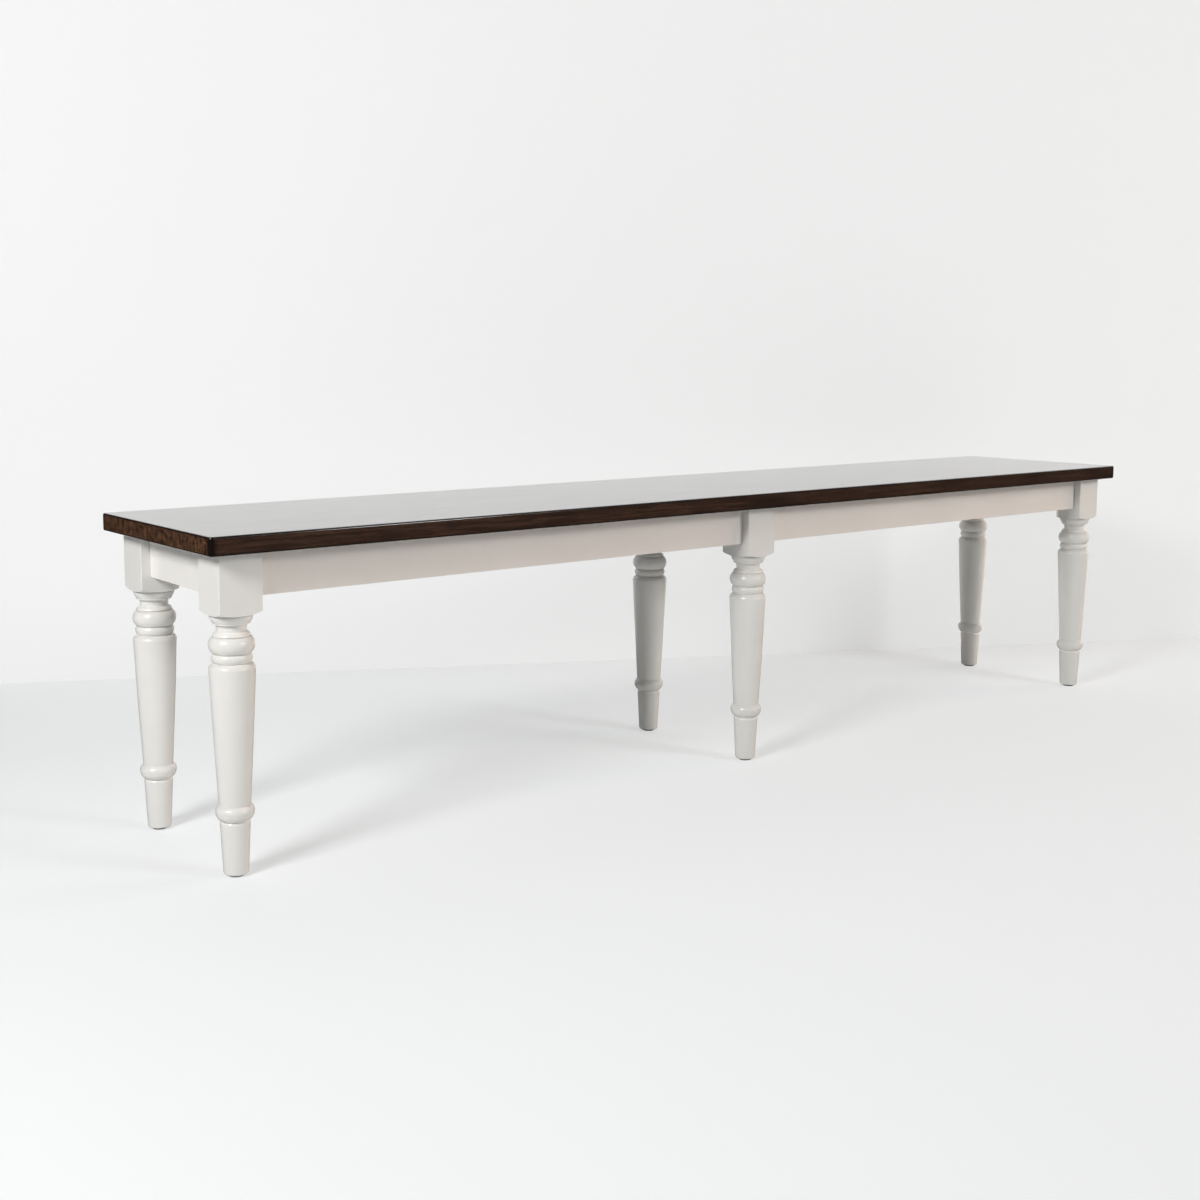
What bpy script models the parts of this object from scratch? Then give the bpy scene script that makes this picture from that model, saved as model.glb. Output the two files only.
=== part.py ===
"""Dining bench: a long slab seat on six turned legs, with tenoned aprons and bolted corner blocks.

Units are metres. +X runs along the seat to the right, +Y to the rear, +Z up. The origin is on the floor,
under the middle of the seat.
"""

import math

import bmesh
import bpy
from mathutils import Vector

# Seat
SEAT_LENGTH = 1.9812
SEAT_DEPTH = 0.3556
SEAT_HEIGHT = 0.4572
SEAT_THICKNESS = 0.0254
SEAT_CORNER_RADIUS = 0.005
SEAT_EDGE_RADIUS = 0.003
END_OVERHANG = 0.0215
SIDE_OVERHANG = 0.0230

# Gap kept between faces that meet
CLEARANCE = 0.0003

# Aprons and cross rail
APRON_HEIGHT = 0.060
APRON_THICKNESS = 0.019
APRON_SETBACK = 0.0135
CROSS_RAIL_HEIGHT = 0.044
CROSS_RAIL_THICKNESS = 0.022
TENON_LENGTH = 0.020
TENON_SHOULDER = 0.00475

# Square part of the leg
LEG_SQUARE = 0.061
LEG_EDGE_RADIUS = 0.0012
BLOCK_REVEAL = 0.0173
BOLT_FLAT_DEPTH = 0.0085

# Turnings of the leg, from the square down: lengths along the leg and radii
LEG_SIDES = 16
POMMEL_LENGTH = 0.0055
POMMEL_RADIUS = 0.0298
POMMEL_SWELL = 0.0006
COLLAR_GROOVE_RADIUS = 0.0279
COLLAR_RADIUS = 0.0286
COLLAR_LENGTH = 0.0095
COLLAR_SWELL = 0.0007
FILLET_RADIUS = 0.0245
FILLET_LENGTH = 0.0014
NECK_RADIUS = 0.0207
NECK_LENGTH = 0.0099
NECK_HOLLOW = 0.0005
FLARE_TOP_RADIUS = 0.0197
FLARE_RADIUS = 0.0251
FLARE_LENGTH = 0.0057
FLARE_SWELL = 0.0012
BULB_END_RADIUS = 0.0256
BULB_LENGTH = 0.0212
BULB_SWELL = 0.0047
GROOVE_RADIUS = 0.0238
GROOVE_LENGTH = 0.0012
RING_END_RADIUS = 0.0248
RING_LENGTH = 0.0110
RING_SWELL = 0.0022
SHOULDER_LENGTH = 0.0092
SHOULDER_SWELL = 0.0019
SHAFT_TOP_RADIUS = 0.0304
SHAFT_FOOT_RADIUS = 0.0209
SHAFT_SWELL = 0.0003
ANKLE_RADIUS = 0.0253
ANKLE_UPPER_LENGTH = 0.0104
ANKLE_UPPER_SWELL = 0.0020
ANKLE_LOWER_LENGTH = 0.0104
ANKLE_LOWER_SWELL = 0.0018
ANKLE_GROOVE_RADIUS = 0.0180
FOOT_TOP_RADIUS = 0.0199
FOOT_TOP_ROUND = 0.0042
FOOT_TOP_SWELL = 0.0006
FOOT_LENGTH = 0.0680
FOOT_TIP_RADIUS = 0.0166
FOOT_TIP_ROUND = 0.0028
FOOT_TIP_SWELL = 0.0007

# Levelling glide and its insert
GLIDE_SIDES = 12
GLIDE_PAD_RADIUS = 0.0106
GLIDE_PAD_THICKNESS = 0.0024
GLIDE_PAD_EASE = 0.0010
GLIDE_STEM_RADIUS = 0.0040
GLIDE_STEM_LENGTH = 0.0280
INSERT_RADIUS = 0.0062
INSERT_LENGTH = 0.0150

# Corner blocks and hanger bolts
CORNER_BLOCK_THICKNESS = 0.0250
CORNER_BLOCK_HEIGHT = 0.0440
BOLT_SIDES = 12
BOLT_RADIUS = 0.0040
BOLT_BITE = 0.0220
BOLT_END = 0.0040
WASHER_RADIUS = 0.0100
WASHER_THICKNESS = 0.0016
NUT_SIDES = 6
NUT_CORNER_RADIUS = 0.0075
NUT_THICKNESS = 0.0065

# Wood screws
SCREW_SIDES = 8
SCREW_RADIUS = 0.0020
SCREW_HEAD_RADIUS = 0.0040
SCREW_HEAD_HEIGHT = 0.0028
SCREW_TIP_LENGTH = 0.0050
SEAT_SCREW_BITE = 0.0160
SEAT_SCREW_RECESS = 0.0040
SEAT_SCREW_OFFSET = 0.0150
RAIL_SCREW_OFFSET = 0.0550
APRON_SCREW_BITE = 0.0140
APRON_SCREW_GRIP = 0.0100
CUT_RUN_OUT = 0.0300

MERGE_DISTANCE = 0.000001
ARC_STEP = math.radians(24)
SMOOTH_ANGLE = math.radians(35)

# Places that follow from the sizes above
SEAT_UNDERSIDE = SEAT_HEIGHT - SEAT_THICKNESS
FRAME_TOP = SEAT_UNDERSIDE - CLEARANCE
FOOT_BOTTOM = GLIDE_PAD_THICKNESS + CLEARANCE
LEG_HALF = LEG_SQUARE / 2
LEG_X = SEAT_LENGTH / 2 - END_OVERHANG - LEG_HALF
LEG_Y = SEAT_DEPTH / 2 - SIDE_OVERHANG - LEG_HALF
APRON_OFFSET = LEG_HALF - APRON_SETBACK - APRON_THICKNESS / 2
APRON_INNER_FACE = APRON_THICKNESS / 2 - APRON_OFFSET
BOLT_FLAT = LEG_HALF * math.sqrt(2) - BOLT_FLAT_DEPTH
BOLT_HEIGHT = FRAME_TOP - CORNER_BLOCK_HEIGHT / 2

SIDES = {"front": -1, "rear": 1}
ENDS = {"left": -1, "right": 1}
STATIONS = {"left": -1, "middle": 0, "right": 1}


def clear_scene():
    """Start from an empty scene."""
    for old in list(bpy.data.objects):
        bpy.data.objects.remove(old, do_unlink=True)


def make_material(name, colour, roughness, metallic=0.0):
    """A plain surface of one colour."""
    made = bpy.data.materials.new(name)
    made.use_nodes = True
    shader = made.node_tree.nodes["Principled BSDF"]
    shader.inputs["Base Color"].default_value = (*colour, 1.0)
    shader.inputs["Roughness"].default_value = roughness
    shader.inputs["Metallic"].default_value = metallic
    return made


def make_mesh(bm, name, smooth_angle=None):
    """Turn a bmesh into a mesh with its faces pointing out, smooth up to smooth_angle."""
    bmesh.ops.recalc_face_normals(bm, faces=bm.faces)
    mesh = bpy.data.meshes.new(name)
    bm.to_mesh(mesh)
    bm.free()
    if smooth_angle is not None:
        mesh.shade_smooth()
        mesh.set_sharp_from_angle(angle=smooth_angle)
    return mesh


def add_empty(name, parent=None, location=(0, 0, 0), turn_z=0.0):
    """A frame that pieces are placed in."""
    empty = bpy.data.objects.new(name, None)
    bpy.context.scene.collection.objects.link(empty)
    empty.parent = parent
    empty.location = location
    empty.rotation_euler = (0, 0, turn_z)
    return empty


def add_piece(name, mesh, finish, parent, location=(0, 0, 0), rotation=(0, 0, 0)):
    """Place a piece of the bench in its parent's frame."""
    piece = bpy.data.objects.new(name, mesh)
    bpy.context.scene.collection.objects.link(piece)
    piece.parent = parent
    piece.location = location
    piece.rotation_euler = rotation
    if finish is not None:
        mesh.materials.append(finish)
    return piece


def add_cutter(name, mesh, parent, location=(0, 0, 0), rotation=(0, 0, 0)):
    """Place a shape that only cuts holes in pieces."""
    cutter = add_piece(name, mesh, None, parent, location, rotation)
    cutter.hide_render = True
    cutter.display_type = "WIRE"
    return cutter


def cut(piece, cutter):
    """Cut a cutter's shape out of a piece."""
    modifier = piece.modifiers.new(cutter.name, "BOOLEAN")
    modifier.operation = "DIFFERENCE"
    modifier.solver = "EXACT"
    modifier.object = cutter


def make_box(size):
    """A box centred on the origin."""
    bm = bmesh.new()
    bmesh.ops.create_cube(bm, size=1.0)
    bmesh.ops.scale(bm, vec=size, verts=bm.verts)
    return bm


def turn(profile, sides):
    """Turn a profile of (radius, height) points about Z; it starts and ends on the axis."""
    bm = bmesh.new()
    verts = [bm.verts.new((radius, 0.0, height)) for radius, height in profile]
    edges = [bm.edges.new(pair) for pair in zip(verts, verts[1:])]
    bmesh.ops.spin(
        bm, geom=verts + edges, cent=(0, 0, 0), axis=(0, 0, 1), angle=math.tau, steps=sides, use_merge=True
    )
    bmesh.ops.remove_doubles(bm, verts=bm.verts, dist=MERGE_DISTANCE)
    bmesh.ops.recalc_face_normals(bm, faces=bm.faces)
    return bm


def make_rod(radius, low, high, sides):
    """A plain round bar along Z."""
    return turn([(0, high), (radius, high), (radius, low), (0, low)], sides)


def arc(start, end, swell):
    """Points of a circular arc from start to end, both (radius, height), in a profile that runs down.

    swell is how far the middle of the arc stands out from the chord; a negative swell is a hollow.
    """
    first, last = Vector(start), Vector(end)
    along = (last - first).normalized()
    outward = Vector((-along.y, along.x)) * math.copysign(1.0, swell)
    half = (last - first).length / 2
    reach = abs(swell)
    bend = (half * half + reach * reach) / (2 * reach)
    sweep = 2 * math.atan2(half, bend - reach)
    centre = (first + last) / 2 + outward * (reach - bend)
    steps = max(2, math.ceil(sweep / ARC_STEP))
    points = []
    for step in range(steps + 1):
        angle = sweep * (step / steps - 0.5)
        points.append(tuple(centre + (along * math.sin(angle) + outward * math.cos(angle)) * bend))
    return points


def groove(radius, top):
    """The two corners at the bottom of a square groove."""
    return [(radius, top), (radius, top - GROOVE_LENGTH)]


def leg_profile():
    """The leg's turned outline from the top down, as (radius, height) points."""
    blank_radius = LEG_HALF * math.sqrt(2) / math.cos(math.pi / LEG_SIDES) + MERGE_DISTANCE
    block_bottom = FRAME_TOP - APRON_HEIGHT - BLOCK_REVEAL
    pommel_end = block_bottom - POMMEL_LENGTH
    collar_top = pommel_end - GROOVE_LENGTH
    fillet_top = collar_top - COLLAR_LENGTH
    neck_top = fillet_top - FILLET_LENGTH
    flare_top = neck_top - NECK_LENGTH
    flare_end = flare_top - FLARE_LENGTH
    bulb_top = flare_end - GROOVE_LENGTH
    bulb_end = bulb_top - BULB_LENGTH
    ring_top = bulb_end - GROOVE_LENGTH
    ring_end = ring_top - RING_LENGTH
    shoulder_top = ring_end - GROOVE_LENGTH
    shaft_top = shoulder_top - SHOULDER_LENGTH
    foot_top = FOOT_BOTTOM + FOOT_LENGTH
    ankle_bottom = foot_top + FOOT_TOP_ROUND
    ankle_middle = ankle_bottom + ANKLE_LOWER_LENGTH
    shaft_foot = ankle_middle + ANKLE_UPPER_LENGTH
    tip_top = FOOT_BOTTOM + FOOT_TIP_ROUND

    profile = [(0, FRAME_TOP), (blank_radius, FRAME_TOP)]
    profile += arc((blank_radius, block_bottom), (POMMEL_RADIUS, pommel_end), POMMEL_SWELL)
    profile += groove(COLLAR_GROOVE_RADIUS, pommel_end)
    profile += arc((COLLAR_RADIUS, collar_top), (FILLET_RADIUS, fillet_top), COLLAR_SWELL)
    profile.append((FILLET_RADIUS, neck_top))
    profile += arc((NECK_RADIUS, neck_top), (FLARE_TOP_RADIUS, flare_top), -NECK_HOLLOW)
    profile += arc((FLARE_TOP_RADIUS, flare_top), (FLARE_RADIUS, flare_end), FLARE_SWELL)[1:]
    profile += groove(GROOVE_RADIUS, flare_end)
    profile += arc((BULB_END_RADIUS, bulb_top), (BULB_END_RADIUS, bulb_end), BULB_SWELL)
    profile += groove(GROOVE_RADIUS, bulb_end)
    profile += arc((RING_END_RADIUS, ring_top), (RING_END_RADIUS, ring_end), RING_SWELL)
    profile += groove(GROOVE_RADIUS, ring_end)
    profile += arc((RING_END_RADIUS, shoulder_top), (SHAFT_TOP_RADIUS, shaft_top), SHOULDER_SWELL)
    profile += arc((SHAFT_TOP_RADIUS, shaft_top), (SHAFT_FOOT_RADIUS, shaft_foot), SHAFT_SWELL)[1:]
    profile += arc((SHAFT_FOOT_RADIUS, shaft_foot), (ANKLE_RADIUS, ankle_middle), ANKLE_UPPER_SWELL)[1:]
    ankle_end = (ANKLE_GROOVE_RADIUS, ankle_bottom)
    profile += arc((ANKLE_RADIUS, ankle_middle), ankle_end, ANKLE_LOWER_SWELL)[1:]
    profile += arc(ankle_end, (FOOT_TOP_RADIUS, foot_top), FOOT_TOP_SWELL)[1:]
    tip_end = (FOOT_TIP_RADIUS - FOOT_TIP_ROUND, FOOT_BOTTOM)
    profile += arc((FOOT_TIP_RADIUS, tip_top), tip_end, FOOT_TIP_SWELL)
    profile.append((0, FOOT_BOTTOM))
    return profile


def plane_off(bm, normal, distance):
    """Plane the shape flat where it passes distance along normal, and close the face."""
    bmesh.ops.bisect_plane(
        bm,
        geom=bm.verts[:] + bm.edges[:] + bm.faces[:],
        plane_co=normal * distance,
        plane_no=normal,
        clear_outer=True,
        dist=MERGE_DISTANCE,
    )
    open_edges = [edge for edge in bm.edges if edge.is_boundary]
    bmesh.ops.holes_fill(bm, edges=open_edges, sides=0)


def ease_upright_edges(bm, radius):
    """Round the straight upright edges of the square block."""
    corner = LEG_HALF * math.sqrt(2)
    upright = [
        edge
        for edge in bm.edges
        if all(vert.co.xy.length > corner - MERGE_DISTANCE for vert in edge.verts)
        and (edge.verts[0].co.xy - edge.verts[1].co.xy).length < MERGE_DISTANCE
    ]
    bmesh.ops.bevel(
        bm, geom=upright, offset=radius, segments=2, profile=0.5, affect="EDGES"
    )


def make_leg_mesh(name, bolt_side):
    """One leg: a turned blank planed square at the top, with a flat for the bolt on its inner corner."""
    bm = turn(leg_profile(), LEG_SIDES)
    for normal in (Vector((1, 0, 0)), Vector((-1, 0, 0)), Vector((0, 1, 0)), Vector((0, -1, 0))):
        plane_off(bm, normal, LEG_HALF)
    ease_upright_edges(bm, LEG_EDGE_RADIUS)
    if bolt_side is not None:
        plane_off(bm, bolt_side.normalized(), BOLT_FLAT)
    return make_mesh(bm, name, SMOOTH_ANGLE)


def make_seat_mesh():
    """The seat slab, with round corners and eased edges."""
    bm = make_box((SEAT_LENGTH, SEAT_DEPTH, SEAT_THICKNESS))
    upright = [edge for edge in bm.edges if edge.verts[0].co.xy == edge.verts[1].co.xy]
    bmesh.ops.bevel(
        bm, geom=upright, offset=SEAT_CORNER_RADIUS, segments=3, profile=0.5, affect="EDGES"
    )
    rims = [edge for edge in bm.edges if edge.verts[0].co.z == edge.verts[1].co.z]
    bmesh.ops.bevel(bm, geom=rims, offset=SEAT_EDGE_RADIUS, segments=2, profile=0.5, affect="EDGES")
    return make_mesh(bm, "seat_top", SMOOTH_ANGLE)


def make_rail_mesh(name, length, thickness, height):
    """A rail along X with a shouldered tenon at each end; length is between the shoulders."""
    bm = make_box((length, thickness, height))
    bm.normal_update()
    for end in [face for face in bm.faces if abs(face.normal.x) > 0.5]:
        outward = end.normal.copy()
        bmesh.ops.inset_region(bm, faces=[end], thickness=TENON_SHOULDER, use_even_offset=True)
        grown = bmesh.ops.extrude_discrete_faces(bm, faces=[end])
        bmesh.ops.translate(bm, vec=outward * TENON_LENGTH, verts=grown["faces"][0].verts[:])
    return make_mesh(bm, name)


def make_mortise_mesh(name, length, thickness, height):
    """The shape that cuts the mortises for both tenons of a rail."""
    reach = length + 2 * (TENON_LENGTH + CLEARANCE)
    margin = 2 * (CLEARANCE - TENON_SHOULDER)
    return make_mesh(make_box((reach, thickness + margin, height + margin)), name)


def make_corner_block_mesh(name):
    """A corner block in its corner's frame: +X points in from the leg, and its ends meet both aprons."""
    leg_side = BOLT_FLAT + CLEARANCE
    inner_side = leg_side + CORNER_BLOCK_THICKNESS
    apron_line = (APRON_INNER_FACE + CLEARANCE) * math.sqrt(2)
    plan = [
        (leg_side, apron_line - leg_side),
        (inner_side, apron_line - inner_side),
        (inner_side, inner_side - apron_line),
        (leg_side, leg_side - apron_line),
    ]
    bm = bmesh.new()
    low = FRAME_TOP - CORNER_BLOCK_HEIGHT
    base = bm.faces.new([bm.verts.new((x, y, low)) for x, y in plan])
    grown = bmesh.ops.extrude_face_region(bm, geom=[base])["geom"]
    rising = [item for item in grown if isinstance(item, bmesh.types.BMVert)]
    bmesh.ops.translate(bm, vec=(0, 0, CORNER_BLOCK_HEIGHT), verts=rising)
    return make_mesh(bm, name)


def screw_profile(length, grow=0.0, run_out=0.0):
    """A wood screw along +Z from its head's top at 0 to its tip; grow makes its hole."""
    shank = SCREW_RADIUS + grow
    head = SCREW_HEAD_RADIUS + grow
    return [
        (0, length + grow),
        (shank, length - SCREW_TIP_LENGTH + grow),
        (shank, SCREW_HEAD_HEIGHT + grow),
        (head, SCREW_HEAD_HEIGHT + grow),
        (head, -run_out),
        (0, -run_out),
    ]


def add_screw(name, length, parent, location, rotation, held):
    """Drive a wood screw through the held pieces."""
    mesh = make_mesh(turn(screw_profile(length), SCREW_SIDES), name, SMOOTH_ANGLE)
    add_piece(name, mesh, steel, parent, location, rotation)
    hole_mesh = make_mesh(turn(screw_profile(length, CLEARANCE, CUT_RUN_OUT), SCREW_SIDES), name + "_hole")
    hole = add_cutter(name + "_hole", hole_mesh, parent, location, rotation)
    for piece in held:
        cut(piece, hole)


def add_seat():
    """The seat slab."""
    middle = SEAT_UNDERSIDE + SEAT_THICKNESS / 2
    return add_piece("seat_top", make_seat_mesh(), stained_wood, bench, (0, 0, middle))


def add_legs():
    """The six legs, each with an insert and a levelling glide in its foot."""
    legs = {}
    for side, y_sign in SIDES.items():
        for station, x_sign in STATIONS.items():
            place = f"{side}_{station}"
            axis = add_empty(place + "_leg_axis", bench, (x_sign * LEG_X, y_sign * LEG_Y, 0))
            bolt_side = Vector((-x_sign, -y_sign, 0)) if x_sign else None
            mesh = make_leg_mesh(place + "_leg", bolt_side)
            legs[place] = add_piece(place + "_leg", mesh, painted_wood, axis)
            add_glide(place, axis, legs[place])
    return legs


def add_glide(place, axis, leg):
    """A levelling glide and the insert that its stem screws into."""
    stem_top = GLIDE_PAD_THICKNESS + GLIDE_STEM_LENGTH
    pad_flat = GLIDE_PAD_RADIUS - GLIDE_PAD_EASE
    profile = [
        (0, stem_top),
        (GLIDE_STEM_RADIUS, stem_top),
        (GLIDE_STEM_RADIUS, GLIDE_PAD_THICKNESS),
        (pad_flat, GLIDE_PAD_THICKNESS),
        (GLIDE_PAD_RADIUS, GLIDE_PAD_THICKNESS - GLIDE_PAD_EASE),
        (GLIDE_PAD_RADIUS, GLIDE_PAD_EASE),
        (pad_flat, 0),
        (0, 0),
    ]
    glide_mesh = make_mesh(turn(profile, GLIDE_SIDES), place + "_glide", SMOOTH_ANGLE)
    add_piece(place + "_glide", glide_mesh, grey_nylon, axis)

    insert_top = FOOT_BOTTOM + INSERT_LENGTH
    insert_bm = make_rod(INSERT_RADIUS, FOOT_BOTTOM, insert_top, GLIDE_SIDES)
    insert_mesh = make_mesh(insert_bm, place + "_glide_insert", SMOOTH_ANGLE)
    insert = add_piece(place + "_glide_insert", insert_mesh, steel, axis)

    bore_bm = make_rod(GLIDE_STEM_RADIUS + CLEARANCE, 0, stem_top + CLEARANCE, GLIDE_SIDES)
    bore = add_cutter(place + "_stem_bore", make_mesh(bore_bm, place + "_stem_bore"), axis)
    seat_bm = make_rod(INSERT_RADIUS + CLEARANCE, 0, insert_top + CLEARANCE, GLIDE_SIDES)
    seat_cut = add_cutter(place + "_insert_seat", make_mesh(seat_bm, place + "_insert_seat"), axis)
    cut(insert, bore)
    cut(leg, bore)
    cut(leg, seat_cut)


def add_rail(name, ends, centre, turn_z, span, thickness, height):
    """A rail between two legs, with mortises cut for it in both; span is from leg axis to leg axis."""
    length = span - LEG_SQUARE - 2 * CLEARANCE
    location = (*centre, FRAME_TOP - height / 2)
    rotation = (0, 0, turn_z)
    mesh = make_rail_mesh(name, length, thickness, height)
    rail = add_piece(name, mesh, painted_wood, bench, location, rotation)
    mortise_name = name + "_mortises"
    mortise_mesh = make_mortise_mesh(mortise_name, length, thickness, height)
    mortises = add_cutter(mortise_name, mortise_mesh, bench, location, rotation)
    for leg in ends:
        cut(leg, mortises)
    return rail


def add_rails(legs):
    """The four side aprons, the two end aprons and the cross rail between the middle legs."""
    rails = {}
    for side, y_sign in SIDES.items():
        for end, x_sign in ENDS.items():
            name = f"{side}_{end}_apron"
            ends = (legs[f"{side}_{end}"], legs[f"{side}_middle"])
            centre = (x_sign * LEG_X / 2, y_sign * (LEG_Y + APRON_OFFSET))
            rails[name] = add_rail(name, ends, centre, 0.0, LEG_X, APRON_THICKNESS, APRON_HEIGHT)
    for end, x_sign in ENDS.items():
        name = f"{end}_end_apron"
        ends = (legs[f"front_{end}"], legs[f"rear_{end}"])
        centre = (x_sign * (LEG_X + APRON_OFFSET), 0)
        rails[name] = add_rail(name, ends, centre, math.pi / 2, 2 * LEG_Y, APRON_THICKNESS, APRON_HEIGHT)
    ends = (legs["front_middle"], legs["rear_middle"])
    rails["middle_cross_rail"] = add_rail(
        "middle_cross_rail", ends, (0, 0), math.pi / 2, 2 * LEG_Y, CROSS_RAIL_THICKNESS, CROSS_RAIL_HEIGHT
    )
    return rails


def add_bolt(place, corner, held):
    """A hanger bolt along the corner's diagonal, with its washer and nut on the corner block."""
    along = (0, math.pi / 2, 0)
    washer_at = BOLT_FLAT + CORNER_BLOCK_THICKNESS + 2 * CLEARANCE
    nut_at = washer_at + WASHER_THICKNESS + CLEARANCE
    bolt_low = BOLT_FLAT - BOLT_BITE
    bolt_high = nut_at + NUT_THICKNESS + BOLT_END
    level = (0, 0, BOLT_HEIGHT)

    bolt_bm = make_rod(BOLT_RADIUS, bolt_low, bolt_high, BOLT_SIDES)
    bolt_mesh = make_mesh(bolt_bm, place + "_hanger_bolt", SMOOTH_ANGLE)
    add_piece(place + "_hanger_bolt", bolt_mesh, steel, corner, level, along)
    washer_bm = make_rod(WASHER_RADIUS, washer_at, washer_at + WASHER_THICKNESS, BOLT_SIDES)
    washer_mesh = make_mesh(washer_bm, place + "_bolt_washer", SMOOTH_ANGLE)
    washer = add_piece(place + "_bolt_washer", washer_mesh, steel, corner, level, along)
    nut_bm = make_rod(NUT_CORNER_RADIUS, nut_at, nut_at + NUT_THICKNESS, NUT_SIDES)
    nut_mesh = make_mesh(nut_bm, place + "_bolt_nut")
    nut = add_piece(place + "_bolt_nut", nut_mesh, steel, corner, level, along)

    hole_bm = make_rod(BOLT_RADIUS + CLEARANCE, bolt_low - CLEARANCE, bolt_high + CLEARANCE, BOLT_SIDES)
    hole = add_cutter(place + "_bolt_hole", make_mesh(hole_bm, place + "_bolt_hole"), corner, level, along)
    for piece in (*held, washer, nut):
        cut(piece, hole)


def add_apron_screw(name, corner, hand, held):
    """A screw from the corner block square into an apron; hand is +1 or -1, the side of the diagonal."""
    apron_face = APRON_INNER_FACE + CLEARANCE
    diagonal = BOLT_FLAT + CLEARANCE + CORNER_BLOCK_THICKNESS / 2
    along_apron = diagonal * math.sqrt(2) - apron_face
    head_at = apron_face + APRON_SCREW_GRIP
    location = (
        (along_apron + head_at) / math.sqrt(2),
        hand * (along_apron - head_at) / math.sqrt(2),
        BOLT_HEIGHT,
    )
    rotation = (0, -math.pi / 2, -hand * math.pi / 4)
    add_screw(name, APRON_SCREW_GRIP + APRON_SCREW_BITE, corner, location, rotation, held)


def add_corners(seat, legs, rails):
    """The corner blocks, with the bolts and screws that hold the legs, aprons and seat to them."""
    for side, y_sign in SIDES.items():
        for end, x_sign in ENDS.items():
            place = f"{side}_{end}"
            inward = math.atan2(-y_sign, -x_sign)
            corner = add_empty(place + "_corner", bench, (x_sign * LEG_X, y_sign * LEG_Y, 0), inward)
            block_mesh = make_corner_block_mesh(place + "_corner_block")
            block = add_piece(place + "_corner_block", block_mesh, bare_wood, corner)
            add_bolt(place, corner, (legs[place], block))

            side_hand = x_sign * y_sign * -1
            side_apron, end_apron = rails[place + "_apron"], rails[end + "_end_apron"]
            add_apron_screw(place + "_side_apron_screw", corner, side_hand, (block, side_apron))
            add_apron_screw(place + "_end_apron_screw", corner, -side_hand, (block, end_apron))

            middle = BOLT_FLAT + CLEARANCE + CORNER_BLOCK_THICKNESS / 2
            low = FRAME_TOP - CORNER_BLOCK_HEIGHT + SEAT_SCREW_RECESS
            length = SEAT_UNDERSIDE + SEAT_SCREW_BITE - low
            location = (middle, SEAT_SCREW_OFFSET, low)
            add_screw(place + "_seat_screw", length, corner, location, (0, 0, 0), (block, seat))


def add_rail_screws(seat, rails):
    """Two screws up through the cross rail into the seat."""
    low = FRAME_TOP - CROSS_RAIL_HEIGHT + SEAT_SCREW_RECESS
    length = SEAT_UNDERSIDE + SEAT_SCREW_BITE - low
    for side, y_sign in SIDES.items():
        location = (0, y_sign * RAIL_SCREW_OFFSET, low)
        held = (rails["middle_cross_rail"], seat)
        add_screw(side + "_rail_seat_screw", length, bench, location, (0, 0, 0), held)


clear_scene()
stained_wood = make_material("stained_wood", (0.050, 0.026, 0.016), 0.30)
painted_wood = make_material("painted_wood", (0.800, 0.785, 0.750), 0.38)
bare_wood = make_material("bare_wood", (0.560, 0.400, 0.250), 0.65)
steel = make_material("zinc_plated_steel", (0.620, 0.610, 0.590), 0.35, 1.0)
grey_nylon = make_material("grey_nylon", (0.115, 0.107, 0.100), 0.55)

bench = add_empty("bench")
seat_top = add_seat()
bench_legs = add_legs()
bench_rails = add_rails(bench_legs)
add_corners(seat_top, bench_legs, bench_rails)
add_rail_screws(seat_top, bench_rails)
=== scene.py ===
"""Finished look of a dining bench: a dark stained seat on six painted, turned legs.

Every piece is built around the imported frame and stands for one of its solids, or for a part of one. Units
are metres, in the frame's axes: +X runs along the seat to the right, +Y to the rear, +Z up, and the floor is
at zero.
"""

import math

import bmesh
import bpy
from mathutils import Matrix, Vector


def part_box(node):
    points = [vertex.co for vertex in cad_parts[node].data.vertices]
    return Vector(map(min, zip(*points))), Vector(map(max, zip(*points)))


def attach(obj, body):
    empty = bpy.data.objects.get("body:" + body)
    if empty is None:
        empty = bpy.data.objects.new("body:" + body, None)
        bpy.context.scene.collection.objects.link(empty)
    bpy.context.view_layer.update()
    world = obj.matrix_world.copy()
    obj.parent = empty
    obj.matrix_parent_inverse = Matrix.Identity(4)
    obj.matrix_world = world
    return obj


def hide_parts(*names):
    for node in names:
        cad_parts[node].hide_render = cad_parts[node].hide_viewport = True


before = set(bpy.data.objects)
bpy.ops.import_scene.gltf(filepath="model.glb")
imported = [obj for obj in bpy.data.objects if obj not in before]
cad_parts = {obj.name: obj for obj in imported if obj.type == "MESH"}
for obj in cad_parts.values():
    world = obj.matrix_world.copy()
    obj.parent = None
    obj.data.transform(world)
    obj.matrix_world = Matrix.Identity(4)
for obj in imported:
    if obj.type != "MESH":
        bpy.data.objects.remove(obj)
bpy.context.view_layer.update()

SIDES = {"front": -1, "rear": 1}
ENDS = {"left": -1, "right": 1}
STATIONS = {"left": -1, "middle": 0, "right": 1}
MERGE_DISTANCE = 0.000001
NODE_MERGE_DISTANCE = 0.00001
ARC_STEP = math.radians(7)
SMOOTH_ANGLE = math.radians(40)
QUARTER_TURN = math.pi / 2
UP = Vector((0, 0, 1))
FACING = 0.999
EDGE_STEPS = 3

# Seat
SEAT_CORNER_RADIUS = 0.005
SEAT_CORNER_STEPS = 8
SEAT_EDGE_RADIUS = 0.003
SEAT_EDGE_STEPS = 6

# Aprons and cross rail
TENON_LENGTH = 0.020
TENON_SHOULDER = 0.00475
RAIL_EDGE_RADIUS = 0.0012
JOINT_GAP = 0.0003

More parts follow.
